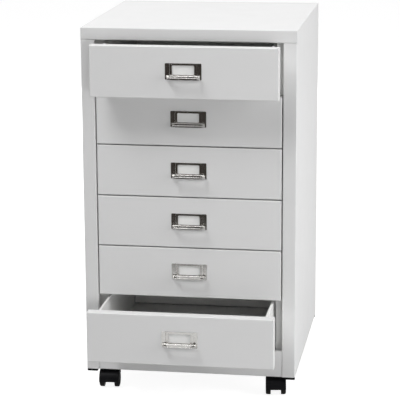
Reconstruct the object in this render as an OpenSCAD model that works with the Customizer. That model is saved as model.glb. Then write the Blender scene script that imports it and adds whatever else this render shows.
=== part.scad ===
// Small sheet-steel drawer cabinet on four swivel castors.
//
// Frame: +Z up, -Y is the front, +X is the right-hand side seen from the front.
// The origin is on the floor, under the middle of the whole model as it stands,
// with the top drawer and the bottom drawer pulled out as set below.
// Inside the modules, y = 0 is the front face of the casing and z = 0 is the
// casing's lower edge; in_case() moves them to their place.

/* [Casing] */
// Outside width of the casing
body_w = 450; // [380:1:600]
// Depth of the casing, front face to back face
body_d = 470; // [400:1:560]
// Height of the casing without its castors
body_h = 740; // [640:1:900]
// Thickness of the sheet steel
sheet = 1; // [0.8:0.1:1.4]
// Outer radius of the bends in the sheet
bend_r = 2; // [1.6:0.1:3]
// Width of the front flange of each side panel
flange_w = 28; // [22:1:36]
// Depth of the lip folded back from each front edge
return_d = 12; // [8:1:16]
// Height of the top panel's front lip
top_lip = 26; // [20:1:40]
// Height of the top panel's rear lip
rear_lip = 20; // [14:1:30]
// Height of the rail under the bottom drawer
base_rail = 57; // [45:1:70]
// Depth of the step behind the lower rail, which clears the castors
base_toe = 7; // [5:0.5:10]
// Height of the base floor above the casing's lower edge
base_lift = 12; // [9:0.5:16]
// Width of the flanges at the back and under the top
rear_flange = 20; // [16:1:30]
// Gap of the seam between the lower rail and the side flanges
seam = 0.3; // [0.2:0.05:0.5]

/* [Liners and runners] */
// Distance from the outside of the casing to the face of its inner liner
liner_inset = 45; // [40:0.5:48]
// Gap from a closed drawer front to the liner behind it
liner_gap = 4; // [3:0.5:8]
// Width of the feet that join a liner to its side panel
liner_foot = 12; // [8:1:20]
// Thickness of the runner angles
runner_t = 1.2; // [1:0.1:2]
// Width of a runner's ledge
runner_w = 12; // [9:0.5:16]
// Height of a runner's upright leg
runner_h = 12; // [8:0.5:16]
// Running gap between a drawer and the runner that it rests on
slide_gap = 0.3; // [0.2:0.05:0.5]

/* [Drawers] */
// How far the top drawer stands open
open_top = 60; // [0:1:250]
// How far the bottom drawer stands open
open_bottom = 130; // [0:1:250]
// Gap round each drawer front
front_gap = 2.5; // [1.5:0.1:4]
// Depth of the folded drawer front
front_t = 22; // [16:0.5:26]
// Radius of the edges of a drawer front
front_r = 1.6; // [1.4:0.1:3]
// Width of the upright lips at the back of a drawer front
front_lip = 30; // [28:0.5:34]
// Space between the back of a closed drawer box and the back panel
box_rear_gap = 46; // [40:1:90]
// Clearance from a drawer box's side to the upright legs of its runners
box_side_gap = 0.8; // [0.5:0.1:2.5]
// Height of a box's floor above the lower edge of its front
box_lift = 2; // [1:0.1:4]
// Distance from the top of a front down to the rim of its box
box_drop = 5; // [4:0.5:12]
// Width of the rim folded in round a box
box_rim = 5; // [3:0.5:8]
// Width of the open seam down both sides of a box's back wall and under it
back_seam = 2; // [1:0.1:3]
// Height of the tabs that weld the back wall to the sides
back_tab_h = 12; // [8:1:16]

/* [Card pulls] */
// Width of a pull's plate
pull_w = 75; // [64:1:90]
// Height of a pull's plate
pull_h = 34; // [32:0.5:40]
// Height of a pull's middle above the middle of its front
pull_rise = 3; // [-8:0.5:12]
// Thickness of a pull's metal
pull_t = 1; // [0.8:0.1:1.4]
// Depth of the pocket that holds the card
pocket_d = 2; // [1.5:0.1:3]
// Width of the raised rim beside the window
pocket_rim = 4.3; // [3.5:0.1:5]
// Width of the card window
window_w = 46; // [40:1:50]
// Height of the card window
window_h = 19.5; // [14:0.5:20]
// Distance from the plate's top edge to the window
window_top = 4; // [3:0.5:5]
// Corner radius of the window
window_r = 2.5; // [1:0.1:4]
// How far the finger lip stands out from the plate
lip_out = 16; // [10:0.5:20]
// Drop of the lip along its slope
lip_drop = 1.6; // [0.5:0.1:2.5]
// Radius where the lip leaves the plate
lip_bend = 3; // [2:0.1:4]
// Width of the lip where it leaves the plate
lip_root_w = 72; // [60:1:73]
// Width of the lip at its rim
lip_rim_w = 62; // [50:1:70]
// Radius of the bead along the rim
bead_r = 1.1; // [0.8:0.1:1.6]
// Thickness of the card
card_t = 0.5; // [0.3:0.1:0.8]

/* [Castors] */
// Clearance from the floor to the casing's lower edge
ground = 44; // [42:1:60]
// Diameter of a castor wheel
wheel_d = 36; // [30:1:36]
// Width of a castor wheel
wheel_w = 10.5; // [9:0.5:13]
// Gap between the two wheels of a castor
wheel_gap = 22; // [18.5:0.5:24]
// Radius of a wheel's outer edge
wheel_edge = 3.6; // [1:0.1:4.5]
// Radius of a wheel's inner edge
wheel_inner_edge = 1.2; // [0.5:0.1:2]
// Height of a hood's front edge above the floor
skirt_h = 15.5; // [12:0.5:16]
// Distance from a castor's upright axis to its axle
trail = 18; // [16:0.5:22]
// Running gap from a wheel to its hood
hood_gap = 1.2; // [0.8:0.1:2]
// Thickness of a hood's shell
hood_t = 2; // [1.6:0.1:2.4]
// Distance from the sides and the front to a castor's upright axis, across
castor_in_x = 45; // [42:1:60]
// Distance from the front and the back to a castor's upright axis, along
castor_in_y = 36; // [35:1:60]
// Turn of the front left castor
turn_front_left = 4; // [-40:1:40]
// Turn of the front right castor
turn_front_right = 8; // [-40:1:40]
// Turn of the rear left castor
turn_rear_left = -14; // [-40:1:40]
// Turn of the rear right castor
turn_rear_right = 11; // [-40:1:40]
// Radius of an axle
axle_r = 3; // [2.5:0.1:3.5]
// Radius of a castor's stem
stem_r = 4; // [3.5:0.1:5]
// Radial running clearance of a wheel on its axle and a hood on its stem
run_fit = 0.1; // [0.05:0.01:0.1]
// Radial clearance of a fixed pin in its hole
still_fit = 0.05; // [0.03:0.01:0.1]

/* [Small parts] */
// Width of a corner pad
pad_w = 22; // [16:1:24]
// Depth of a corner pad
pad_d = 10; // [7:0.5:10]
// Height of a corner pad below the casing
pad_h = 5; // [3:0.5:5.5]
// Shank radius of the sheet-metal screws
screw_r = 1.6; // [1.2:0.1:2]
// Height of a screw's domed head
screw_head_h = 1.6; // [1.2:0.1:2]
// Length of a screw behind its head
screw_len = 5; // [4:0.5:8]

/* [Hidden] */
drawer_count = 6;
round_fn = 48;
bit = 0.01;
// how far a cut runs past the metal that it goes through
over = 1;

corners = ["front_left", "front_right", "rear_left", "rear_right"];
sides = ["left", "right"];

// Opening and drawer fronts
open_w = body_w - 2 * flange_w;
open_h = body_h - top_lip - base_rail;
front_w = open_w - 2 * front_gap;
front_h = (open_h - (drawer_count + 1) * front_gap) / drawer_count;
pitch = front_h + front_gap;
function front_z(i) = base_rail + front_gap + (drawer_count - i) * pitch;
function opened(i) = i == 1 ? open_top : i == drawer_count ? open_bottom : 0;

// Liners, runners and drawer boxes
liner_x = body_w / 2 - liner_inset;
liner_y = front_t + liner_gap;
liner_rear_gap = 14;
liner_end = body_d - sheet - liner_rear_gap;
box_w = 2 * (liner_x - runner_t - box_side_gap);
box_h = front_h - box_lift - box_drop;
box_len = body_d - 2 * sheet - front_t - box_rear_gap;
// heights of the tabs' middles on a box's back wall
back_tabs = [0.45 * box_h, 0.8 * box_h];
// a runner starts behind the liner's front bend and ends behind the drawer box
runner_inset = 2;
runner_past = 8;
runner_end = min(liner_end - sheet, front_t + box_len + runner_past);
runner_bend = runner_t + 0.6;

// Height of the lips that frame the opening at the back of a drawer front
front_frame = 8;

// Screws: distance from a box's sides, and from the ends of the back panel
drawer_screw_in = 7;
back_screw_low = 30;
back_screw_high = 60;
screw_head_r = 2.6 * screw_r;

// Card pulls: distances below the plate's top edge, and out from the drawer front
pull_face = pull_t + pocket_d;
window_foot = 1;
plate_r = 2;
card_side_gap = 1.5;
card_top_gap = 2;
lip_top = window_top + window_h + window_foot;
lip_rim_z = lip_top + lip_bend + lip_drop;
lip_reach = pull_face + lip_out;

// Castors: heights above the floor
wheel_r = wheel_d / 2;
hood_r = wheel_r + hood_gap + hood_t;
castor_half = wheel_gap / 2 + wheel_w;
floor_z = ground + base_lift;
collar_h = 4;
neck_side_gap = 1.5;
neck_r = wheel_gap / 2 - neck_side_gap;
stem_above_axle = 3;
stem_end_gap = 0.5;
stem_foot = wheel_r + stem_above_axle;
nut_h = 6.5;
nut_r = 1.85 * stem_r;
stem_over = 3;
stem_top = floor_z + sheet + nut_h + stem_over;

// Lower edge of the liners, clear of the castor nuts and stems
stem_to_liner = 3;
liner_z = base_lift + sheet + nut_h + stem_over + stem_to_liner;

// Hood: angle at which it ends behind the wheels, and the boss that carries the axle
heel_angle = 25;
shoulder_r = hood_t - 0.1;
boss_side_gap = 0.3;
boss_wall = 2.5;
web_half = neck_r - 1;

// Wheel: hub wall, cap over the axle's end, dish outside and hollow inside
hub_wall = 3.5;
cap_t = 1.5;
dish_depth = 1.5;
hollow_depth = 3;
rim_wall = wheel_edge + 1.5;
axle_end_in = 3;

// Corner pads: the key that stands up into the casing's corner fold
pad_inset = 0.5;
pad_key_in = 3;
pad_key_side = 1.5;
pad_key_gap = 0.3;
pad_key_h = 7;

// The model's middle: the front reach against the back face
front_reach = max(open_top, open_bottom) + lip_reach + bead_r;
case_y = (front_reach - body_d - screw_head_h) / 2;

// ---------------------------------------------------------------- helpers

module in_case() translate([0, case_y, ground]) children();

module mirror_x(side) {
    if (side == "left") mirror([1, 0, 0]) children();
    else children();
}

// Outlines drawn in (x, z) run along Y, and outlines drawn in (y, z) run along X
module along_y(from, to) translate([0, to, 0]) rotate([90, 0, 0]) linear_extrude(to - from) children();
module along_x(from, to) translate([from, 0, 0]) rotate([90, 0, 90]) linear_extrude(to - from) children();

module block(from, to) translate(from) cube(to - from);

// Bent sheet seen end-on. The path has right-angled corners, the sheet lies on
// its left-hand side, and each corner becomes a bend of the given outer radius.
function turned_left(a, b) = a[0] * b[1] - a[1] * b[0] > 0;

module bent_sheet(path, t = sheet, r = bend_r) {
    last = len(path) - 1;
    way = [for (i = [0:last - 1]) (path[i + 1] - path[i]) / norm(path[i + 1] - path[i])];
    back = [for (i = [0:last])
        i == 0 || i == last ? 0 : turned_left(way[i - 1], way[i]) ? r : r - t];
    for (i = [0:last - 1]) {
        across = t * [-way[i][1], way[i][0]];
        a = path[i] + back[i] * way[i];
        b = path[i + 1] - back[i + 1] * way[i];
        polygon([a, b, b + across, a + across]);
    }
    for (i = [1:last - 1]) {
        centre = path[i] - back[i] * way[i - 1] + back[i] * way[i];
        intersection() {
            translate(centre) difference() {
                circle(r, $fn = round_fn);
                circle(r - t, $fn = round_fn);
            }
            polygon([centre, centre + 2 * r * way[i - 1],
                centre + 2 * r * (way[i - 1] - way[i]), centre - 2 * r * way[i]]);
        }
    }
}

module rounded_rect(w, h, r) {
    square([w - 2 * r, h], center = true);
    square([w, h - 2 * r], center = true);
    for (x = [-1, 1]) for (y = [-1, 1])
        translate([x * (w / 2 - r), y * (h / 2 - r)]) circle(r, $fn = 32);
}

// Pan-head screw along +Y, with its head's seat at y = 0
module screw() {
    rotate([-90, 0, 0]) cylinder(r = screw_r, h = screw_len, $fn = 24);
    rotate([90, 0, 0]) rotate_extrude($fn = 32) intersection() {
        square([2 * screw_r, screw_head_h]);
        translate([0, screw_head_h - screw_head_r]) circle(screw_head_r, $fn = 64);
    }
}

module screw_hole(depth) {
    rotate([-90, 0, 0]) translate([0, 0, -depth]) cylinder(r = screw_r + still_fit, h = 2 * depth, $fn = 24);
}

// ---------------------------------------------------------------- casing

back_screw_zs = [for (k = [0:3])
    base_lift + back_screw_low + k * (body_h - base_lift - back_screw_low - back_screw_high) / 3];
back_screw_x = body_w / 2 - rear_flange / 2;

module at_back_screws() {
    for (s = [-1, 1]) for (z = back_screw_zs) translate([s * back_screw_x, body_d, z]) children();
}

module side_panel(side) {
    half = body_w / 2;
    inner = half - flange_w;
    color("gainsboro") in_case() mirror_x(side) difference() {
        union() {
            linear_extrude(body_h - sheet) bent_sheet([
                [inner, return_d], [inner, 0], [half, 0],
                [half, body_d], [half - rear_flange, body_d]
            ]);
            // flange turned in under the top panel
            block([half - rear_flange, 2 * bend_r, body_h - 2 * sheet],
                [half - sheet / 2, body_d - 2 * bend_r, body_h - sheet]);
        }
        // the top panel's lips take the place of the flanges here
        block([inner - over, -over, body_h - top_lip], [half + over, sheet, body_h]);
        block([inner - over, -over, body_h - top_lip], [half - sheet, return_d + over, body_h]);
        block([half - rear_flange - over, body_d - sheet, body_h - rear_lip],
            [half + over, body_d + over, body_h]);
        for (y = [-over, body_d - bend_r])
            block([half - 2 * sheet, y, body_h - bend_r], [half + over, y + bend_r + over, body_h]);
        at_back_screws() screw_hole(3 * sheet);
    }
}

module top_panel() {
    half = body_w / 2;
    color("whitesmoke") in_case() {
        along_x(-half, half) bent_sheet([
            [body_d, body_h - rear_lip], [body_d, body_h],
            [0, body_h], [0, body_h - top_lip + bend_r]
        ]);
        // hem turned back under the front lip, between the side panels
        along_x(-half + sheet, half - sheet) bent_sheet([
            [0, body_h - top_lip + 2 * bend_r], [0, body_h - top_lip],
            [return_d, body_h - top_lip]
        ]);
        for (s = [-1, 1])
            block([s * half - (s + 1) / 2 * sheet, 0, body_h - top_lip],
                [s * half + (1 - s) / 2 * sheet, sheet, body_h - top_lip + 2 * bend_r]);
    }
}

module base_panel() {
    half = body_w / 2 - sheet;
    rail_half = open_w / 2 - seam;
    inside_back = body_d - 2 * sheet;
    color("gainsboro") in_case() difference() {
        union() {
            along_x(-rail_half, rail_half) bent_sheet([
                [return_d, base_rail], [0, base_rail], [0, 0],
                [base_toe, 0], [base_toe, base_lift], [return_d + 2, base_lift]
            ]);
            along_x(-half, half) bent_sheet([
                [return_d + 1, base_lift], [inside_back, base_lift],
                [inside_back, base_lift + rear_flange]
            ]);
        }
        for (c = corners) at_castor_xy(c)
            translate([0, 0, base_lift - over])
                cylinder(r = stem_r + still_fit, h = sheet + 2 * over, $fn = 32);
    }
}

// The back panel lies between the rear bends of the side panels
module back_panel() {
    half = body_w / 2 - bend_r - seam;
    color("gainsboro") in_case() difference() {
        block([-half, body_d - 2 * sheet, base_lift + 1.5 * sheet],
            [half, body_d - sheet, body_h - 2 * sheet]);
        at_back_screws() screw_hole(3 * sheet);
    }
}

module liner(side) {
    half = body_w / 2 - sheet;
    color("silver") in_case() mirror_x(side)
        translate([0, 0, liner_z]) linear_extrude(body_h - 2 * sheet - liner_z)
            bent_sheet([
                [half, liner_end - liner_foot], [half, liner_end], [liner_x, liner_end],
                [liner_x, liner_y], [half, liner_y], [half, liner_y + liner_foot]
            ]);
}

module runners(side) {
    color("silver") in_case() mirror_x(side) for (i = [1:drawer_count]) {
        z = front_z(i) + box_lift - slide_gap - runner_t;
        along_y(liner_y + runner_inset, runner_end) bent_sheet([
            [liner_x - runner_w, z], [liner_x, z], [liner_x, z + runner_h]
        ], runner_t, runner_bend);
    }
}

module corner_pads() {
    half = body_w / 2;
    color("black") in_case() for (side = sides) mirror_x(side) {
        for (back = [0, 1]) translate([0, back * body_d, 0]) mirror([0, back, 0]) {
            block([half - pad_inset - pad_w, pad_inset, -pad_h], [half - pad_inset, pad_inset + pad_d, 0]);
            block([half - pad_w + pad_key_in, sheet + pad_key_gap, -bit],
                [half - sheet - pad_key_side, pad_d, pad_key_h]);
        }
    }
}

module back_screws() {
    color("dimgray") in_case() at_back_screws() rotate([0, 0, 180]) screw();
}

// ---------------------------------------------------------------- drawers

// A drawer's own frame: x = 0 is its middle, y = 0 the face of its front and
// z = 0 the lower edge of its front
module in_drawer(i) in_case() translate([0, -opened(i), front_z(i)]) children();

drawer_screws = [for (s = [-1, 1]) for (z = [0.25, 0.75]) [s * (box_w / 2 - drawer_screw_in), z * front_h]];

module drawer_front(i) {
    half = front_w / 2;
    color("gainsboro") in_drawer(i) difference() {
        intersection() {
            along_x(-half, half) front_side();
            translate([0, 0, -over]) linear_extrude(front_h + 2 * over) translate([-half, 0]) front_plan();
        }
        // hollow of the pan, and the wide opening between its rear lips
        block([-half + sheet, sheet, sheet], [half - sheet, front_t - sheet, front_h - sheet]);
        block([-half + front_lip, sheet, sheet + front_frame],
            [half - front_lip, front_t + over, front_h - sheet - front_frame]);
        for (p = drawer_screws) translate([p[0], front_t, p[1]]) screw_hole(3 * sheet);
    }
}

// Side view and plan of a drawer front, each with its two front edges rounded
module front_side() {
    translate([front_r, 0]) square([front_t - front_r, front_h]);
    translate([0, front_r]) square([front_t, front_h - 2 * front_r]);
    for (z = [front_r, front_h - front_r]) translate([front_r, z]) circle(front_r, $fn = round_fn);
}

module front_plan() {
    translate([0, front_r]) square([front_w, front_t - front_r]);
    translate([front_r, 0]) square([front_w - 2 * front_r, front_t]);
    for (x = [front_r, front_w - front_r]) translate([x, front_r]) circle(front_r, $fn = round_fn);
}

module drawer_box(i) {
    half = box_w / 2;
    y0 = front_t;
    y1 = front_t + box_len;
    color("gainsboro") in_drawer(i) translate([0, 0, box_lift]) difference() {
        union() {
            // floor and sides folded from one sheet, with the rims turned in
            along_y(y0, y1) bent_sheet([
                [-half + box_rim, box_h], [-half, box_h], [-half, 0],
                [half, 0], [half, box_h], [half - box_rim, box_h]
            ]);
            // front wall
            block([-half + sheet / 2, y0, sheet / 2], [half - sheet / 2, y0 + sheet, box_h - sheet / 2]);
            // back wall, hung from the rear rim and welded to the sides by tabs
            block([-half + sheet + back_seam, y1 - sheet, sheet + back_seam],
                [half - sheet - back_seam, y1, box_h - sheet / 2]);
            block([-half + box_rim / 2, y1 - box_rim, box_h - sheet], [half - box_rim / 2, y1, box_h]);
            for (z = back_tabs)
                block([-half + sheet / 2, y1 - sheet, z - back_tab_h / 2],
                    [half - sheet / 2, y1, z + back_tab_h / 2]);
        }
        for (p = drawer_screws) translate([p[0], y0, p[1] - box_lift]) screw_hole(3 * sheet);
    }
}

module drawer_screws(i) {
    color("silver") in_drawer(i)
        for (p = drawer_screws) translate([p[0], front_t + sheet, p[1]]) rotate([0, 0, 180]) screw();
}

// The pull's own frame: x = 0 its middle, y = 0 the drawer front, z = 0 the
// plate's top edge
module on_front(i) in_drawer(i) translate([0, 0, front_h / 2 + pull_rise + pull_h / 2]) children();

// Plan of the plate: side flanges on the front, and the raised pocket between
module plate_plan() {
    half = pull_w / 2;
    step = window_w / 2 + pocket_rim;
    mitre = pull_t * tan(22.5);
    polygon([
        [-half, 0], [-half, -pull_t], [-step - pocket_d, -pull_t], [-step, -pull_face],
        [step, -pull_face], [step + pocket_d, -pull_t], [half, -pull_t], [half, 0],
        [step + pocket_d - mitre, 0], [step - mitre, -pocket_d],
        [-step + mitre, -pocket_d], [-step - pocket_d + mitre, 0]
    ]);
}

// Plan of the finger lip, narrowing from the plate to the rim
module lip_plan(inset) {
    root = lip_root_w / 2 - inset;
    rim = lip_rim_w / 2 - inset;
    reach = inset > 0 ? lip_reach + 10 : lip_reach + bead_r;
    narrow = (root - rim) * (reach - lip_reach) / lip_reach;
    polygon([[-root, bit], [-root, 0], [-rim + narrow, -reach], [rim - narrow, -reach], [root, 0], [root, bit]]);
}

module lip_side() {
    // ledge and riser against the plate
    translate([-pull_face, -lip_top - pull_t]) square([pull_face, pull_t]);
    translate([-pull_face, -lip_top - lip_bend - pull_t]) square([pull_t, lip_bend + pull_t]);
    // bend
    intersection() {
        translate([-pull_face - lip_bend, -lip_top]) difference() {
            circle(lip_bend + pull_t, $fn = round_fn);
            circle(lip_bend, $fn = round_fn);
        }
        translate([-pull_face - lip_bend, -lip_top - lip_bend - pull_t]) square(lip_bend + pull_t);
    }
    // slope and bead
    polygon([
        [-pull_face - lip_bend, -lip_top - lip_bend], [-pull_face - lip_bend, -lip_top - lip_bend - pull_t],
        [-lip_reach, -lip_rim_z - pull_t], [-lip_reach, -lip_rim_z]
    ]);
    translate([-lip_reach, -lip_rim_z - pull_t / 2]) circle(bead_r, $fn = 32);
}

// Side view of the cheeks that close the lip's ends
module cheek_side() {
    polygon([
        [0, -lip_top - pull_t / 2], [-pull_face, -lip_top - pull_t / 2],
        [-pull_face - lip_bend, -lip_top - lip_bend - pull_t / 2],
        [-lip_reach, -lip_rim_z - pull_t / 2], [-lip_reach, -lip_rim_z - pull_t],
        [-pull_face, -pull_h], [0, -pull_h]
    ]);
}

module drawer_pull(i) {
    color("dimgray") on_front(i) {
        difference() {
            intersection() {
                translate([0, 0, -pull_h]) linear_extrude(pull_h) plate_plan();
                translate([0, over, -pull_h / 2]) rotate([90, 0, 0])
                    linear_extrude(pull_face + 2 * over) rounded_rect(pull_w, pull_h, plate_r);
            }
            translate([0, 0, -window_top - window_h / 2]) rotate([90, 0, 0])
                linear_extrude(pull_face + over) rounded_rect(window_w, window_h, window_r);
        }
        intersection() {
            along_x(-pull_w, pull_w) lip_side();
            translate([0, 0, -pull_h - over]) linear_extrude(pull_h) lip_plan(0);
        }
        intersection() {
            along_x(-pull_w, pull_w) cheek_side();
            translate([0, 0, -pull_h - over]) linear_extrude(pull_h) difference() {
                lip_plan(0);
                lip_plan(pull_t);
            }
        }
    }
}

module drawer_card(i) {
    half = window_w / 2 + pocket_rim - card_side_gap;
    color("white") on_front(i) block([-half, -card_t, -lip_top], [half, 0, -card_top_gap]);
}

// ---------------------------------------------------------------- castors

function castor_x(c) = (c == "front_left" || c == "rear_left" ? -1 : 1) * (body_w / 2 - castor_in_x);
function castor_y(c) = c == "front_left" || c == "front_right" ? castor_in_y : body_d - castor_in_y;
function castor_turn(c) =
    c == "front_left" ? turn_front_left :
    c == "front_right" ? turn_front_right :
    c == "rear_left" ? turn_rear_left : turn_rear_right;

module at_castor_xy(c) translate([castor_x(c), castor_y(c), 0]) children();

// A castor's own frame: its upright axis is x = y = 0 and the floor is z = 0
module in_castor(c)
    translate([0, case_y, 0]) at_castor_xy(c) rotate([0, 0, castor_turn(c)]) children();

module at_axle() translate([0, -trail, wheel_r]) children();

module around_x() rotate([0, 90, 0]) rotate_extrude($fn = 64) children();

// Part of the hood that is kept round the axle: from the front skirt over the
// top to the back
module hood_sector(skirt, heel) {
    far = 3 * hood_r;
    polygon([
        [0, 0], far * [cos(skirt), sin(skirt)], [-far, far], [far, far], far * [cos(heel), sin(heel)]
    ]);
}

module castor_hood(c) {
    skirt = 180 + asin((wheel_r - skirt_h) / hood_r);
    boss = wheel_gap / 2 - boss_side_gap;
    color("black") in_castor(c) difference() {
        union() {
            at_axle() intersection() {
                union() {
                    // shell over both wheels, with rounded shoulders
                    around_x() difference() {
                        union() {
                            translate([0, -castor_half]) square([hood_r - shoulder_r, 2 * castor_half]);
                            translate([0, shoulder_r - castor_half])
                                square([hood_r, 2 * (castor_half - shoulder_r)]);
                            for (x = [-1, 1]) translate([hood_r - shoulder_r, x * (castor_half - shoulder_r)])
                                circle(shoulder_r, $fn = 32);
                        }
                        translate([0, -castor_half - over])
                            square([hood_r - hood_t, 2 * (castor_half + over)]);
                    }
                    // web between the wheels
                    around_x() translate([0, -web_half]) square([hood_r - hood_t / 2, 2 * web_half]);
                }
                along_x(-castor_half - over, castor_half + over) hood_sector(skirt, heel_angle);
            }
            // boss that carries the axle
            at_axle() translate([-boss, 0, 0]) rotate([0, 90, 0]) cylinder(r = axle_r + boss_wall, h = 2 * boss, $fn = 32);
            // neck round the stem
            translate([0, 0, wheel_r])
                cylinder(r = neck_r, h = floor_z - collar_h - slide_gap - wheel_r, $fn = round_fn);
        }
        translate([0, 0, stem_foot - stem_end_gap]) cylinder(r = stem_r + run_fit, h = floor_z, $fn = 32);
        at_axle() translate([-castor_half, 0, 0]) rotate([0, 90, 0])
            cylinder(r = axle_r + still_fit, h = 2 * castor_half, $fn = 32);
    }
}

module castor_axle(c) {
    reach = castor_half - axle_end_in;
    color("silver") in_castor(c) at_axle() translate([-reach, 0, 0]) rotate([0, 90, 0])
        cylinder(r = axle_r, h = 2 * reach, $fn = 32);
}

// Wheel outline: radius along x, width along y from the hub's inner face out
module wheel_outline() {
    bore = axle_r + run_fit;
    hub = axle_r + hub_wall;
    dish = wheel_r - hub - rim_wall;
    difference() {
        union() {
            square([wheel_r - wheel_edge, wheel_w]);
            square([wheel_r - wheel_inner_edge, wheel_w - wheel_edge]);
            translate([0, wheel_inner_edge]) square([wheel_r, wheel_w - wheel_edge - wheel_inner_edge]);
            translate([wheel_r - wheel_edge, wheel_w - wheel_edge]) circle(wheel_edge, $fn = 32);
            translate([wheel_r - wheel_inner_edge, wheel_inner_edge]) circle(wheel_inner_edge, $fn = 32);
        }
        // bore, blind under the hub cap
        translate([-over, -over]) square([bore + over, wheel_w - cap_t]);
        // dished outer face round the hub cap
        translate([hub, wheel_w - dish_depth]) square([dish, dish_depth + over]);
        // hollow inner face
        translate([hub, -over]) square([dish, hollow_depth + over]);
    }
}

module castor_wheel(c, side) {
    color([0.08, 0.08, 0.08]) in_castor(c) at_axle() mirror_x(side)
        translate([wheel_gap / 2, 0, 0]) rotate([0, 90, 0]) rotate_extrude($fn = 64) wheel_outline();
}

module castor_stems() {
    color("silver") translate([0, case_y, 0]) for (c = corners) at_castor_xy(c) {
        translate([0, 0, stem_foot]) cylinder(r = stem_r, h = stem_top - stem_foot, $fn = 32);
        translate([0, 0, floor_z - collar_h]) cylinder(r = neck_r, h = collar_h, $fn = 6);
    }
}

module castor_nuts() {
    color("silver") translate([0, case_y, floor_z + sheet]) for (c = corners) at_castor_xy(c)
        difference() {
            cylinder(r = nut_r, h = nut_h, $fn = 6);
            translate([0, 0, -over]) cylinder(r = stem_r + still_fit, h = nut_h + 2 * over, $fn = 32);
        }
}

// ---------------------------------------------------------------- the model

side_panel("left");  // side_panel_left
side_panel("right");  // side_panel_right
top_panel();
base_panel();
back_panel();
liner("left");  // liner_left
liner("right");  // liner_right
runners("left");  // runners_left
runners("right");  // runners_right
corner_pads();
back_screws();
castor_stems();
castor_nuts();

for (i = [1:drawer_count]) {
    drawer_box(i);
    drawer_front(i);
    drawer_pull(i);
    drawer_card(i);
    drawer_screws(i);
}

for (c = corners) {
    castor_hood(c);
    castor_axle(c);
    castor_wheel(c, "left");
    castor_wheel(c, "right");
}
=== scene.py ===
# %% [markdown]
# # A small steel drawer cabinet
# The cabinet comes in as a frame of finished solids: casing, six drawers, castors. This lesson
# dresses it. It sets a camera, a floor and soft light, gives every solid a finish that is built
# from nodes, and adds the small things that repeat, such as screws and weld marks.
# All lengths are in metres, +Z is up and -Y is the front.

# %% Load the frame
import math

import bmesh
import bpy
from mathutils import Matrix, Vector


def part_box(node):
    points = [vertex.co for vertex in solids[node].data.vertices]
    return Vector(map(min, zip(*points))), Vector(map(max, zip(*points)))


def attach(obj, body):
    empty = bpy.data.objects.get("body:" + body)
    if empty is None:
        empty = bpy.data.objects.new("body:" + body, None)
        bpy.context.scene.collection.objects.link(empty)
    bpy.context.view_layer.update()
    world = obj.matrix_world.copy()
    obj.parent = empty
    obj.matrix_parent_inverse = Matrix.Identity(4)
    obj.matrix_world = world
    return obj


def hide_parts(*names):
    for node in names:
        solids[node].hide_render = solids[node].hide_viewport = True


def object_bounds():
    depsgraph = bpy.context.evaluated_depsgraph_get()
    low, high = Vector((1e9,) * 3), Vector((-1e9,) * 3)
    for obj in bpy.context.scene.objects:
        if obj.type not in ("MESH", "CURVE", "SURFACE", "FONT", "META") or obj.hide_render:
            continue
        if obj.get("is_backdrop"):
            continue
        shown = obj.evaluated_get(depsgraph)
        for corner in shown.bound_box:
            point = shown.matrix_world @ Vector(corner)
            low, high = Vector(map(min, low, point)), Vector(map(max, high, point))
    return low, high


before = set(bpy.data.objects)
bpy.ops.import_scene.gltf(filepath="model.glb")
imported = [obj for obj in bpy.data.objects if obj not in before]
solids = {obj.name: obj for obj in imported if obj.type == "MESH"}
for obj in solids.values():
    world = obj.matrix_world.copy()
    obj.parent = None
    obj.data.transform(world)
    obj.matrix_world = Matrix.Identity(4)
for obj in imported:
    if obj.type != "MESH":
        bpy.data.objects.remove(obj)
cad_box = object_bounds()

MM = 0.001
print("outer size in mm:", [round(v / MM, 1) for v in cad_box[1] - cad_box[0]])

# %% [markdown]
# ## Camera
# A long lens from far away keeps the cabinet's uprights nearly parallel. The camera stands a
# little to the right of the cabinet and above its top, so one side and the top show.

# %% Set the camera
def linked(name, data):
    """A new object in the scene for a mesh, a lamp or a camera."""
    made = bpy.data.objects.new(name, data)
    bpy.context.scene.collection.objects.link(made)
    return made


camera_data = bpy.data.cameras.new("camera")
camera_data.lens = 158.82
camera_data.sensor_width = 36.0
camera = linked("camera", camera_data)
camera.location = (0.5875, -3.7032, 1.2738)
camera.rotation_euler = [math.radians(v) for v in (76.692, 0.298, 8.976)]
bpy.context.scene.camera = camera
bpy.context.scene.view_settings.view_transform = "Standard"
print("camera stands", round(camera.location.length, 2), "m from the origin")

# %% [markdown]
# ## A helper for node trees
# Materials and Geometry Nodes are both trees of nodes. One short helper adds a node, sets its
# options and fills its inputs. An input takes a plain value, or the output of an earlier node.

# %% Node helper
def add(tree, kind, inputs=None, **options):
    """Adds a node to a tree, sets its options and fills its inputs."""
    node = tree.nodes.new(kind)
    for name, value in options.items():
        setattr(node, name, value)
    for name, value in (inputs or {}).items():
        if isinstance(value, bpy.types.NodeSocket):
            tree.links.new(value, node.inputs[name])
        else:
            node.inputs[name].default_value = value
    return node


def new_finish(name):
    """A material, its tree and its Principled shader, with everything else cleared."""
    material = bpy.data.materials.new(name)
    material.use_nodes = True
    tree = material.node_tree
    tree.nodes.clear()
    shader = add(tree, "ShaderNodeBsdfPrincipled")
    add(tree, "ShaderNodeOutputMaterial", {"Surface": shader.outputs["BSDF"]})
    return material, tree, shader


def span(tree, value, low, high, start=0.0, end=1.0):
    """Maps a value from start..end to low..high."""
    node = add(tree, "ShaderNodeMapRange", {
        "Value": value, "From Min": start, "From Max": end, "To Min": low, "To Max": high})
    return node.outputs["Result"]


def shades(tree, value, dark, light):
    """Blends two colours by a value."""
    node = add(tree, "ShaderNodeMix", data_type="RGBA")
    tree.links.new(value, node.inputs[0])
    node.inputs[6].default_value = (*dark, 1)
    node.inputs[7].default_value = (*light, 1)
    return node.outputs[2]


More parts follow.
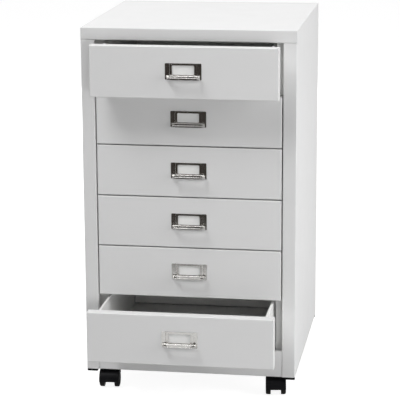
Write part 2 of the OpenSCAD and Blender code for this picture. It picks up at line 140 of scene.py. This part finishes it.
def noise(tree, place, scale, detail=2.0, rough=0.5):
    """A soft random pattern from 0 to 1, with about scale waves in a metre."""
    node = add(tree, "ShaderNodeTexNoise", {
        "Vector": place, "Scale": scale, "Detail": detail, "Roughness": rough})
    return node.outputs["Fac"]


def bump(tree, height, depth, strength=1.0, under=None):
    """A surface direction from a height pattern, on top of another one if that is given."""
    inputs = {"Height": height, "Distance": depth, "Strength": strength}
    if under is not None:
        inputs["Normal"] = under
    return add(tree, "ShaderNodeBump", inputs).outputs["Normal"]


print("helpers ready")

# %% [markdown]
# ## Floor and light
# The cabinet stands on white paper in soft light. To the camera the far paper and the sky are
# plain white, while the floor keeps the soft shadow under the castors: a glow is added to a floor
# that is otherwise lit like any other surface. Mirrors see half of that glow, and matt surfaces
# gather none of it.

# %% Floor
def stage_mesh(name, corners, faces):
    """A mesh that belongs to the studio and not to the cabinet."""
    mesh = bpy.data.meshes.new(name)
    mesh.from_pydata(corners, [], faces)
    made = linked(name, mesh)
    made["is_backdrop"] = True
    return made


def seen_by(tree, cameras, mirrors, matt):
    """One value for the camera, one for mirrors and one for light that matt surfaces gather."""
    path = add(tree, "ShaderNodeLightPath")
    direct = add(tree, "ShaderNodeMath", {
        0: path.outputs["Is Camera Ray"], 1: path.outputs["Is Transmission Ray"]},
        operation="MAXIMUM").outputs[0]
    others = span(tree, path.outputs["Is Glossy Ray"], matt, mirrors)
    return add(tree, "ShaderNodeMix", {"Factor": direct, 2: others, 3: cameras}).outputs[0]


FLOOR_REACH, FLOOR_DROP = 12.0, 0.2 * MM
floor_corners = [(FLOOR_REACH * x, FLOOR_REACH * y, -FLOOR_DROP)
                 for x, y in ((-1, -1), (1, -1), (1, 1), (-1, 1))]
floor = stage_mesh("floor", floor_corners, [(0, 1, 2, 3)])
paper_floor, tree, shader = new_finish("pale_floor")
place = add(tree, "ShaderNodeTexCoord").outputs["Object"]
paper_tone = shades(tree, noise(tree, place, 6.0, 3.0), (0.38, 0.38, 0.38), (0.41, 0.41, 0.41))
tree.links.new(paper_tone, shader.inputs["Base Color"])
shader.inputs["Roughness"].default_value = 0.9
shader.inputs["Specular IOR Level"].default_value = 0.1
shader.inputs["Emission Color"].default_value = (1, 1, 1, 1)
tree.links.new(seen_by(tree, 0.90, 0.45, 0.0), shader.inputs["Emission Strength"])
floor.data.materials.append(paper_floor)
print("floor is", round(floor.dimensions.x, 1), "m wide")

# %% [markdown]
# The main lamp hangs high, to the left and in front, and is more than a metre wide, so the open
# top drawer throws a soft-edged shadow on the drawer under it. The sky fills the shadows. A wide
# lamp on the right lights the side panel, two weak ones lift the fronts and the top, and two
# more behind light the back and the left side. Most of the lamps are kept out of the mirrors, so
# that polished metal isn't full of white patches.

# %% World and lamps
world = bpy.data.worlds.new("studio")
bpy.context.scene.world = world
world.use_nodes = True
tree = world.node_tree
tree.nodes.clear()
sky = add(tree, "ShaderNodeBackground", {
    "Color": (1, 1, 1, 1), "Strength": seen_by(tree, 1.0, 1.0, 0.12)})
add(tree, "ShaderNodeOutputWorld", {"Surface": sky.outputs["Background"]})


def soft_lamp(name, at, towards, size, watts, in_mirrors=False):
    """A rectangular lamp that points at a place and that the camera doesn't see."""
    lamp = bpy.data.lights.new(name, "AREA")
    lamp.shape = "RECTANGLE"
    lamp.size, lamp.size_y = size
    lamp.energy = watts
    holder = linked(name, lamp)
    holder.location = at
    aim = Vector(towards) - Vector(at)
    holder.rotation_euler = aim.to_track_quat("-Z", "Y").to_euler()
    holder.visible_camera = False
    holder.visible_glossy = in_mirrors
    return holder


# each has a name, a place, a point it is aimed at, its size and its power
lamps = [
    soft_lamp("lamp_main", (-1.68, -1.91, 4.07), (0, -0.15, 0.55), (1.7, 1.7), 102, in_mirrors=True),
    soft_lamp("lamp_right", (2.9, -0.8, 1.3), (0, 0, 0.4), (1.8, 2.0), 64),
    soft_lamp("lamp_front", (0.95, -2.6, 0.4), (0, 0, 0.2), (1.0, 0.7), 12),
    soft_lamp("lamp_over", (0.2, 0.5, 3.2), (0, 0.1, 0.6), (2.6, 2.6), 26, in_mirrors=True),
    soft_lamp("lamp_back", (-0.9, 3.6, 1.0), (0, 0.2, 0.4), (2.2, 1.4), 48),
    soft_lamp("lamp_left", (-3.2, 1.1, 1.1), (0, 0.1, 0.4), (2.0, 1.4), 18),
]
print("lamps:", [(lamp.name, lamp.data.energy) for lamp in lamps])

# %% [markdown]
# Polished metal shows what stands round it. In front of the cabinet the white paper ends after a
# metre and a bit, and behind the camera there is a dark floor and a dark wall. So the upper pulls
# mirror the dark room and the lower pulls mirror the paper. This half room is seen in mirrors
# only: it shows nowhere else and takes no light from anything.

# %% The dark half of the studio, for the mirrors
PAPER_EDGE, ROOM_REACH, WALL_TOP = 1.17, 6.0, 3.0
GAP, STEPS = 0.4 * MM, 48  # how far the dark floor lies above the paper, and the parts of its arc
ROW = STEPS + 1
half_turn = [math.pi * (1 + k / STEPS) for k in range(ROW)]
room_corners = [(reach * math.cos(angle), reach * math.sin(angle), height)
                for reach, height in ((PAPER_EDGE, GAP), (ROOM_REACH, GAP), (ROOM_REACH, WALL_TOP))
                for angle in half_turn]
room_faces = [(k, k + 1, k + ROW + 1, k + ROW)
              for row in (0, 1) for k in range(row * ROW, row * ROW + STEPS)]
dark_half = stage_mesh("dark_half", room_corners, room_faces)
dark = bpy.data.materials.new("dark_room")
dark.use_nodes = True
tree = dark.node_tree
tree.nodes.clear()
place = add(tree, "ShaderNodeTexCoord").outputs["Object"]
tone = shades(tree, noise(tree, place, 1.5, 2.0), (0.034, 0.030, 0.027), (0.075, 0.065, 0.058))
glow = add(tree, "ShaderNodeEmission", {"Color": tone})
add(tree, "ShaderNodeOutputMaterial", {"Surface": glow.outputs["Emission"]})
dark_half.data.materials.append(dark)
for ray in ("camera", "diffuse", "transmission", "shadow", "volume_scatter"):
    setattr(dark_half, "visible_" + ray, False)
print("paper ends", PAPER_EDGE, "m out, in mirrors")

# %% [markdown]
# ## Powder coat
# The sheet steel is sprayed with dry paint that melts into a tough skin in an oven. Close up the
# skin has a faint orange peel, with waves two or three millimetres across and a finer grain on
# top. Both go into the bump, the gloss varies a little, and the colour hardly at all.

# %% Powder coat
PEEL_WAVES, GRAIN_WAVES = 400.0, 1900.0  # in a metre


def powder_coat(name, colour, gloss=(0.36, 0.46), soiling=0.0):
    """Sprayed and baked paint; gloss is its range of roughness, soiling darkens its clouds."""
    material, tree, shader = new_finish(name)
    place = add(tree, "ShaderNodeTexCoord").outputs["Object"]
    cloud = noise(tree, place, 4.0, 3.0, 0.55)
    low = [c * (0.975 - soiling) for c in colour]
    tree.links.new(shades(tree, cloud, low, colour), shader.inputs["Base Color"])
    patches = noise(tree, place, 22.0, 3.0)
    tree.links.new(span(tree, patches, *gloss, 0.3, 0.7), shader.inputs["Roughness"])
    peel = bump(tree, noise(tree, place, PEEL_WAVES, 2.0, 0.4), 0.00004, 0.5)
    grain = bump(tree, noise(tree, place, GRAIN_WAVES, 2.0), 0.000012, 0.6, peel)
    tree.links.new(grain, shader.inputs["Normal"])
    shader.inputs["Specular IOR Level"].default_value = 0.45
    return material


WHITE = (0.80, 0.80, 0.80)
coat_outside = powder_coat("powder_coat_outside", WHITE)
coat_front = powder_coat("powder_coat_fronts", WHITE, (0.38, 0.48))
coat_inside = powder_coat("powder_coat_inside", (0.82, 0.82, 0.81), (0.44, 0.56), 0.01)
print("powder coats: outside, fronts, inside")

# %% [markdown]
# ## Zinc plate
# Runners, screws and castor stems are plated steel. Zinc has soft blotches a few millimetres
# across, where its crystals lie differently, and fine lines along the way the metal was rolled
# or drawn. The lines drive the gloss and the bump, and the blotches tint the metal.

# %% Zinc plate
def zinc_plate(name, stretch=(1.0, 0.06, 1.0), tone=(0.52, 0.54, 0.57)):
    """Plated steel whose fine lines are drawn out along Y, unless stretch is the same all round."""
    material, tree, shader = new_finish(name)
    place = add(tree, "ShaderNodeTexCoord").outputs["Object"]
    crystals = add(tree, "ShaderNodeTexVoronoi", {"Vector": place, "Scale": 260.0},
                   feature="SMOOTH_F1")
    light = [min(1.0, c * 1.22) for c in tone]
    blotches = shades(tree, crystals.outputs["Distance"], light, tone)
    tree.links.new(blotches, shader.inputs["Base Color"])
    along = add(tree, "ShaderNodeMapping", {"Vector": place, "Scale": stretch}).outputs["Vector"]
    lines = noise(tree, along, 900.0, 3.0, 0.6)
    tree.links.new(span(tree, lines, 0.24, 0.42, 0.3, 0.7), shader.inputs["Roughness"])
    tree.links.new(bump(tree, lines, 0.00001, 0.5), shader.inputs["Normal"])
    shader.inputs["Metallic"].default_value = 1.0
    return material


zinc_sheet = zinc_plate("zinc_runners")
zinc_screw = zinc_plate("zinc_screws", (1, 1, 1), (0.50, 0.51, 0.53))
print("zinc: runners and screws")

# %% [markdown]
# ## Bright plate on the pulls
# The pulls are pressed from thin sheet and polished before plating. They mirror the room, but
# the press leaves slow waves in the metal and years of fingers leave fine scratches and a haze.

# %% Bright plate
bright_plate, tree, shader = new_finish("bright_plate")
place = add(tree, "ShaderNodeTexCoord").outputs["Object"]
waves = bump(tree, noise(tree, place, 55.0, 2.0), 0.00012, 0.35)
rub = add(tree, "ShaderNodeMapping", {"Vector": place, "Scale": (0.08, 1.0, 1.0)}).outputs["Vector"]
scratches = noise(tree, rub, 1500.0, 4.0, 0.65)
fine = bump(tree, scratches, 0.000006, 0.5, waves)
haze = noise(tree, place, 70.0, 4.0, 0.6)
tree.links.new(span(tree, haze, 0.10, 0.24, 0.35, 0.7), shader.inputs["Roughness"])
tarnish = shades(tree, haze, (0.67, 0.66, 0.64), (0.61, 0.60, 0.58))
tree.links.new(tarnish, shader.inputs["Base Color"])
tree.links.new(fine, shader.inputs["Normal"])
shader.inputs["Metallic"].default_value = 1.0
print("bright plate ready")

# %% [markdown]
# ## Card
# A blank card slides in behind each window. Card is matt and made of matted fibres, which show
# as a faint mottle and a soft tooth.

# %% Card
card, tree, shader = new_finish("blank_card")
place = add(tree, "ShaderNodeTexCoord").outputs["Object"]
fibres = noise(tree, place, 2400.0, 4.0, 0.7)
mottle = noise(tree, place, 160.0, 3.0)
card_white = shades(tree, mottle, (0.86, 0.86, 0.85), (0.91, 0.91, 0.90))
tree.links.new(card_white, shader.inputs["Base Color"])
tree.links.new(bump(tree, fibres, 0.00003, 0.5), shader.inputs["Normal"])
shader.inputs["Roughness"].default_value = 0.85
shader.inputs["Specular IOR Level"].default_value = 0.2
print("card ready")

# %% [markdown]
# ## Castor plastic
# Hoods are moulded nylon with a fine spark-eroded grain. The wheels are the same stuff, but
# their treads pick up dust and scuffs, so the wheel's finish has to know where the tread is.
# It measures the distance from the wheel's own axle, which every castor has somewhere else and
# at another turn: a Mapping node moves the pattern onto each axle.

# %% Hood plastic
hood_plastic, tree, shader = new_finish("moulded_nylon")
place = add(tree, "ShaderNodeTexCoord").outputs["Object"]
cloud = noise(tree, place, 60.0, 3.0)
nylon_black = shades(tree, cloud, (0.005, 0.005, 0.006), (0.010, 0.010, 0.011))
tree.links.new(nylon_black, shader.inputs["Base Color"])
shader.inputs["Specular IOR Level"].default_value = 0.08
tree.links.new(span(tree, noise(tree, place, 240.0, 3.0), 0.36, 0.52), shader.inputs["Roughness"])
tree.links.new(bump(tree, noise(tree, place, 2600.0, 2.0), 0.00003, 0.6), shader.inputs["Normal"])
print("hood plastic ready")

# %% Wheel plastic
TREAD_STARTS, TREAD_FULL = 16.6 * MM, 17.8 * MM  # radii from the wheel's axle


def middle(name):
    """The centre of a solid's box."""
    low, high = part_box(name)
    return (low + high) / 2


def wheel_plastic(corner):
    """A finish whose dust sits on the treads of this castor's two wheels."""
    left = middle(f"castor_{corner}_wheel_left")
    right = middle(f"castor_{corner}_wheel_right")
    axle = (left + right) / 2
    turn = math.atan2(right.y - left.y, right.x - left.x)
    material, tree, shader = new_finish(f"wheel_nylon_{corner}")
    place = add(tree, "ShaderNodeTexCoord").outputs["Object"]
    local = add(tree, "ShaderNodeMapping", {
        "Vector": place, "Location": axle, "Rotation": (0, 0, turn)}, vector_type="TEXTURE")
    across = add(tree, "ShaderNodeVectorMath", {0: local.outputs["Vector"], 1: (0, 1, 1)},
                 operation="MULTIPLY")
    radius = add(tree, "ShaderNodeVectorMath", {0: across.outputs["Vector"]}, operation="LENGTH")
    tread = span(tree, radius.outputs["Value"], 0.0, 1.0, TREAD_STARTS, TREAD_FULL)
    dust = span(tree, noise(tree, place, 190.0, 4.0, 0.7), 0.0, 1.0, 0.42, 0.68)
    worn = add(tree, "ShaderNodeMath", {0: tread, 1: dust}, operation="MULTIPLY").outputs[0]
    tree.links.new(shades(tree, worn, (0.006, 0.006, 0.007), (0.040, 0.038, 0.036)),
                   shader.inputs["Base Color"])
    shader.inputs["Specular IOR Level"].default_value = 0.08
    tree.links.new(span(tree, worn, 0.42, 0.85), shader.inputs["Roughness"])
    grain = bump(tree, noise(tree, place, 1400.0, 3.0), 0.00003, 0.5)
    tree.links.new(grain, shader.inputs["Normal"])
    return material, math.degrees(turn)


corners = ("front_left", "front_right", "rear_left", "rear_right")
tread_finish = {}
for corner in corners:
    tread_finish[corner], turn = wheel_plastic(corner)
    print(corner, "castor is turned", round(turn, 1), "degrees")

# %% [markdown]
# ## Give each solid its finish
# The solids keep their shape. Only the material in each one's slot is replaced.

# %% Hand out the finishes
def finish_for(name):
    """The finish that belongs on a solid, told from its name."""
    if name.startswith("castor_"):
        if name in ("castor_stems", "castor_nuts") or name.endswith("_axle"):
            return zinc_screw
        if name.endswith("_hood"):
            return hood_plastic
        return tread_finish[name[len("castor_"):name.index("_wheel")]]
    ending = name.rsplit("_", 1)[-1]
    if ending in ("pull", "card", "screws"):
        return {"pull": bright_plate, "card": card, "screws": zinc_screw}[ending]
    if name.startswith("runners"):
        return zinc_sheet
    if name == "corner_pads":
        return hood_plastic
    if ending == "front":
        return coat_front
    if ending == "box" or name.startswith("liner") or name == "back_panel":
        return coat_inside
    return coat_outside


count = {}
for name, solid in solids.items():
    finish = finish_for(name)
    solid.data.materials.clear()
    solid.data.materials.append(finish)
    count[finish.name] = count.get(finish.name, 0) + 1
for finish, number in sorted(count.items()):
    print(finish, "on", number)

# %% [markdown]
# ## Where the small parts are
# Several equal fasteners share one solid's name. To dress them one by one, the loose triangles
# are joined where their corners meet, and each separate lump gives a box.

# %% Find the separate lumps
TOUCH = 0.01 * MM  # corners that are closer than this are one corner


def lumps(name):
    """The box of each separate solid inside a node, from left to right and bottom to top."""
    shape = bmesh.new()
    shape.from_mesh(solids[name].data)
    bmesh.ops.remove_doubles(shape, verts=shape.verts, dist=TOUCH)
    boxes, seen = [], set()
    for start in shape.verts:
        if start in seen:
            continue
        group, todo = [], [start]
        seen.add(start)
        while todo:
            vertex = todo.pop()
            group.append(vertex.co.copy())
            for edge in vertex.link_edges:
                other = edge.other_vert(vertex)
                if other not in seen:
                    seen.add(other)
                    todo.append(other)
        boxes.append((Vector([min(c[k] for c in group) for k in range(3)]),
                      Vector([max(c[k] for c in group) for k in range(3)])))
    shape.free()
    return sorted(boxes, key=lambda b: (round(b[0].x, 4), round(b[0].z, 4)))


for name in ("back_screws", "drawer_1_screws", "runners_left"):
    print(name, "has", len(lumps(name)), "separate solids")

# %% [markdown]
# ## One screw, many places
# A pan-head screw is a turned dome with a cross-shaped recess, and it is the same everywhere.
# So one screw is made by hand: an outline is spun into the dome and shank, and a tapered cross
# is cut out of the head. Geometry Nodes then put a copy on every point of a small cloud of
# points, each turned by a random angle as a screwdriver leaves them.

# %% Make one screw
def as_object(shape, name):
    """Turns an edited mesh into an object of that name."""
    mesh = bpy.data.meshes.new(name)
    shape.to_mesh(mesh)
    shape.free()
    return linked(name, mesh)


def evaluated_copy(piece, name):
    """A plain mesh object of what a piece's modifiers make."""
    graph = bpy.context.evaluated_depsgraph_get()
    return linked(name, bpy.data.meshes.new_from_object(piece.evaluated_get(graph)))


def closed_between(shape, low, high):
    """Closes two rings of corners into a block whose faces point outwards."""
    shape.faces.new(low)
    shape.faces.new(high[::-1])
    for k in range(len(low)):
        after = (k + 1) % len(low)
        shape.faces.new((low[k], high[k], high[after], low[after]))
    bmesh.ops.recalc_face_normals(shape, faces=shape.faces)


def spun(name, outline, steps=32):
    """Turns an outline of (radius, height) pairs round Z into a closed mesh."""
    shape = bmesh.new()
    rings = []
    for radius, height in outline:
        if radius < 1e-9:
            rings.append([shape.verts.new((0, 0, height))])
        else:
            rings.append([shape.verts.new((radius * math.cos(2 * math.pi * k / steps),
                                           radius * math.sin(2 * math.pi * k / steps), height))
                          for k in range(steps)])
    for low, high in zip(rings, rings[1:]):
        for k in range(steps):
            a, b = low[k % len(low)], low[(k + 1) % len(low)]
            c, d = high[(k + 1) % len(high)], high[k % len(high)]
            around = [v for i, v in enumerate((a, b, c, d)) if v not in (a, b, c, d)[:i]]
            shape.faces.new(around)
    bmesh.ops.recalc_face_normals(shape, faces=shape.faces)
    return as_object(shape, name)


def cross_ring(shape, reach, arm, height):
    """Twelve corners of a cross whose arms end at reach and are two arms wide."""
    arm_end = [(reach, -arm), (reach, arm), (arm, arm)]
    return [shape.verts.new(Matrix.Rotation(quarter * math.pi / 2, 3, "Z") @ Vector((x, y, height)))
            for quarter in range(4) for x, y in arm_end]


first_low, first_high = lumps("back_screws")[0]
head_radius = (first_high.x - first_low.x) / 2
head_height, shank_radius, shank_length = 1.6 * MM, 1.6 * MM, 5.0 * MM
RECESS_FLOOR = (1.0 * MM, 0.25 * MM, -0.45 * MM)  # reach, half of an arm's width, and height
RECESS_MOUTH = (2.2 * MM, 0.45 * MM, -2.4 * MM)
DOME_ANGLES = [math.radians(degrees) for degrees in (90, 78, 64, 48, 32, 16, 0)]
dome = [(head_radius * math.sin(a), -head_height * math.cos(a)) for a in DOME_ANGLES]
blank = spun("screw_blank", [(0, shank_length), (shank_radius, shank_length),
                             (shank_radius, 0)] + dome)

shape = bmesh.new()
closed_between(shape, cross_ring(shape, *RECESS_FLOOR), cross_ring(shape, *RECESS_MOUTH))
cutter = as_object(shape, "cross")
cut = blank.modifiers.new("cross", "BOOLEAN")
cut.object, cut.operation = cutter, "DIFFERENCE"
screw = evaluated_copy(blank, "screw_model")

# the cut leaves a few corners on top of each other, which an exported mesh would show as slivers
shape = bmesh.new()
shape.from_mesh(screw.data)
bmesh.ops.remove_doubles(shape, verts=shape.verts, dist=0.1 * TOUCH)
shape.to_mesh(screw.data)
shape.free()
screw.data.materials.clear()
print("screw head is", round(2 * head_radius / MM, 1), "mm wide")
print("one screw has", len(screw.data.polygons), "faces")

# %% [markdown]
# ## Copies on points
# A tree of nodes puts a copy of one object on every point of a mesh. The part, its tilt, the most
# it may turn, the seed and the finish are inputs, so one tree serves screws and weld marks. The
# tree ends by making the copies real and giving them their finish, and what it makes is kept as a
# plain mesh.

# %% Put copies on points
def scatter_tree(name):
    """Copies of an object on points, each with its own turn about the Z of the copy."""
    tree = bpy.data.node_groups.new(name, "GeometryNodeTree")
    sockets = tree.interface
    sockets.new_socket("Geometry", in_out="INPUT", socket_type="NodeSocketGeometry")
    for label, kind, value in (
            ("Part", "NodeSocketObject", None), ("Tilt", "NodeSocketVector", (0, 0, 0)),
            ("Most turn", "NodeSocketFloat", math.pi / 2), ("Seed", "NodeSocketInt", 3),
            ("Finish", "NodeSocketMaterial", None)):
        socket = sockets.new_socket(label, in_out="INPUT", socket_type=kind)
        if value is not None:
            socket.default_value = value
    sockets.new_socket("Geometry", in_out="OUTPUT", socket_type="NodeSocketGeometry")
    source = add(tree, "NodeGroupInput")
    part = add(tree, "GeometryNodeObjectInfo", {"Object": source.outputs["Part"]})
    turn = add(tree, "FunctionNodeRandomValue", {
        "Max": source.outputs["Most turn"], "Seed": source.outputs["Seed"]}, data_type="FLOAT")
    spin = add(tree, "ShaderNodeCombineXYZ", {"Z": turn.outputs[1]})
    own = add(tree, "FunctionNodeEulerToRotation", {0: spin.outputs[0]})
    tilt = add(tree, "FunctionNodeEulerToRotation", {0: source.outputs["Tilt"]})
    whole = add(tree, "FunctionNodeRotateRotation", {0: own.outputs[0], 1: tilt.outputs[0]})
    points = add(tree, "GeometryNodeMeshToPoints", {"Mesh": source.outputs["Geometry"]})
    copies = add(tree, "GeometryNodeInstanceOnPoints", {
        "Points": points.outputs[0], "Instance": part.outputs["Geometry"],
        "Rotation": whole.outputs[0]})
    real = add(tree, "GeometryNodeRealizeInstances", {"Geometry": copies.outputs[0]})
    painted = add(tree, "GeometryNodeSetMaterial", {
        "Geometry": real.outputs[0], "Material": source.outputs["Finish"]})
    add(tree, "NodeGroupOutput", {0: painted.outputs[0]})
    return tree


def run_tree(tree, name, places, settings):
    """Runs a tree on a cloud of points and keeps the result as a plain mesh."""
    mesh = bpy.data.meshes.new(name + "_points")
    mesh.from_pydata([tuple(p) for p in places], [], [])
    cloud = linked(name + "_points", mesh)
    modifier = cloud.modifiers.new("copies", "NODES")
    modifier.node_group = tree
    for socket in tree.interface.items_tree:
        if socket.in_out == "INPUT" and socket.name in settings:
            modifier[socket.identifier] = settings[socket.name]
    made = evaluated_copy(cloud, name)
    bpy.data.objects.remove(cloud)
    return made


scatter = scatter_tree("parts_on_points")
HEAD_TO_THE_BACK = (math.radians(90), 0, 0)
screw_sets = [("back_screws", "casing")]
screw_sets += [(f"drawer_{i}_screws", f"drawer_{i}") for i in range(1, 7)]
for node, body in screw_sets:
    seats = [Vector(((low.x + high.x) / 2, high.y - head_height, (low.z + high.z) / 2))
             for low, high in lumps(node)]
    made = run_tree(scatter, node + "_crossed", seats, {
        "Part": screw, "Tilt": HEAD_TO_THE_BACK, "Most turn": math.pi / 2, "Seed": len(node),
        "Finish": zinc_screw})
    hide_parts(node)
    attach(made, body)
    print(made.name, len(seats), "screws,", len(made.data.polygons), "faces")

# %% [markdown]
# ## The pulls, as they leave the press
# The pull is a pressed card frame with a finger lip at its foot. The solid's lip hangs steeper and
# is closed up to its rim. The real lip is flatter, so some of the plate shows under it, and it is
# open behind its rim, so light falls through it onto the drawer. A copy of each pull's solid is
# merged into one skin, the part in front of the plate is raised and drawn in towards its rim, a
# Boolean cuts the opening, and a Bevel rounds the edges, as a press never leaves a knife edge.
# Weighted normals keep the flat faces flat in a mirror.

# %% Raise the lip, open it and round the edges
PLATE_FACE, LIP_BEND, LIP_LENGTH = 3.0 * MM, 3.0 * MM, 13.0 * MM
RISE_AT_BEND, RISE_AT_RIM, DRAWN_IN = 1.0 * MM, 1.1 * MM, 0.045
SLOT_AT_PLATE = (30.0 * MM, 1.0 * MM)  # half width, and how far ahead of the plate's face
SLOT_AT_RIM = (25.0 * MM, 11.0 * MM)
SLOT_BELOW, SLOT_ABOVE = 5.0 * MM, 10.5 * MM  # how far the cutter reaches from the pull's foot
EDGE_ROUND = 0.22 * MM
FLAT_BELOW, SMOOTH_BELOW, ROUND_ABOVE = [math.radians(degrees) for degrees in (1.5, 32, 40)]


def slot_cutter(back, centre, foot):
    """A block that cuts the lip open between its plate and its rim."""
    plan = [(centre + side * half, back - PLATE_FACE - ahead)
            for side, (half, ahead) in ((-1, SLOT_AT_PLATE), (-1, SLOT_AT_RIM),
                                        (1, SLOT_AT_RIM), (1, SLOT_AT_PLATE))]
    shape = bmesh.new()
    low, high = [[shape.verts.new((x, y, height)) for x, y in plan]
                 for height in (foot - SLOT_BELOW, foot + SLOT_ABOVE)]
    closed_between(shape, low, high)
    return as_object(shape, "slot")


def raised(corner, back, centre):
    """Where a corner of the solid's lip belongs on the flatter lip."""
    ahead = back - corner.y - PLATE_FACE
    if ahead <= TOUCH:
        return corner
    bent = min(1.0, ahead / LIP_BEND)
    along = min(1.0, max(0.0, (ahead - LIP_BEND) / LIP_LENGTH))
    return Vector((centre + (corner.x - centre) * (1 - DRAWN_IN * along), corner.y,
                   corner.z + bent * RISE_AT_BEND + along * RISE_AT_RIM))


def finished_pull(node, name):
    """The pull's solid as one skin, with its lip raised and open and its edges rounded."""
    back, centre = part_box(node)[1].y, middle(node).x
    shape = bmesh.new()
    shape.from_mesh(solids[node].data)
    bmesh.ops.remove_doubles(shape, verts=shape.verts, dist=TOUCH)
    for vertex in shape.verts:
        vertex.co = raised(vertex.co, back, centre)
    bmesh.ops.dissolve_limit(shape, angle_limit=FLAT_BELOW,
                             verts=shape.verts, edges=shape.edges)
    skin = as_object(shape, name + "_skin")
    skin.data.polygons.foreach_set("use_smooth", [True] * len(skin.data.polygons))
    skin.data.set_sharp_from_angle(angle=SMOOTH_BELOW)
    slot = slot_cutter(back, centre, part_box(node)[0].z)
    opening = skin.modifiers.new("opening", "BOOLEAN")
    opening.object, opening.operation = slot, "DIFFERENCE"
    edge = skin.modifiers.new("rounded edges", "BEVEL")
    edge.width, edge.segments = EDGE_ROUND, 2
    edge.limit_method, edge.angle_limit = "ANGLE", ROUND_ABOVE
    flat = skin.modifiers.new("flat faces stay flat", "WEIGHTED_NORMAL")
    flat.weight, flat.keep_sharp = 90, True
    made = evaluated_copy(skin, name)
    bpy.data.objects.remove(skin)
    bpy.data.objects.remove(slot)
    return made


for i in range(1, 7):
    node = f"drawer_{i}_pull"
    made = finished_pull(node, node + "_pressed")
    made.data.materials.clear()
    made.data.materials.append(bright_plate)
    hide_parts(node)
    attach(made, f"drawer_{i}")
print("pulls finished, each with", len(made.data.polygons), "faces")

# %% [markdown]
# ## Weld marks on the runners
# Each runner is a steel angle that is spot-welded to the liner. A spot weld leaves a shallow
# round dish with a low rim where the electrode pressed. The marks sit along each runner's
# upright leg, at even steps.

# %% Weld marks
MARKS_PER_RUNNER, END_MARGIN = 5, 18 * MM
RUNNER_SHEET, MARK_HEIGHT = 1.2 * MM, 8.2 * MM
DISH = [(0, 0.02 * MM), (1.5 * MM, 0.03 * MM), (1.9 * MM, 0.10 * MM),
        (2.3 * MM, 0.03 * MM), (2.4 * MM, -0.2 * MM), (0, -0.2 * MM)]  # radius and height
mark = spun("weld_mark", DISH, 24)
for side, inward in (("left", 1), ("right", -1)):
    places = []
    for low, high in lumps("runners_" + side):
        leg = low.x + RUNNER_SHEET if inward > 0 else high.x - RUNNER_SHEET
        step = (high.y - low.y - 2 * END_MARGIN) / (MARKS_PER_RUNNER - 1)
        places += [(leg, low.y + END_MARGIN + k * step, low.z + MARK_HEIGHT)
                   for k in range(MARKS_PER_RUNNER)]
    made = run_tree(scatter, f"weld_marks_{side}", places, {
        "Part": mark, "Tilt": (0, math.radians(90 * inward), 0), "Most turn": 0.0, "Seed": 1,
        "Finish": zinc_sheet})
    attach(made, "casing")
    print(made.name, len(places), "marks")

# %% [markdown]
# ## What only helped
# The screw's blank, its cutter and the two parts that were copied have done their work. They go,
# so that only finished pieces are left.

# %% Clear the helpers
for helper in (blank, cutter, screw, mark):
    bpy.data.objects.remove(helper)

# %% Measure how much the outer size grew
seen_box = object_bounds()
growth = (seen_box[1] - seen_box[0]) - (cad_box[1] - cad_box[0])
print("growth in mm:", [round(float(v) / MM, 3) for v in growth])
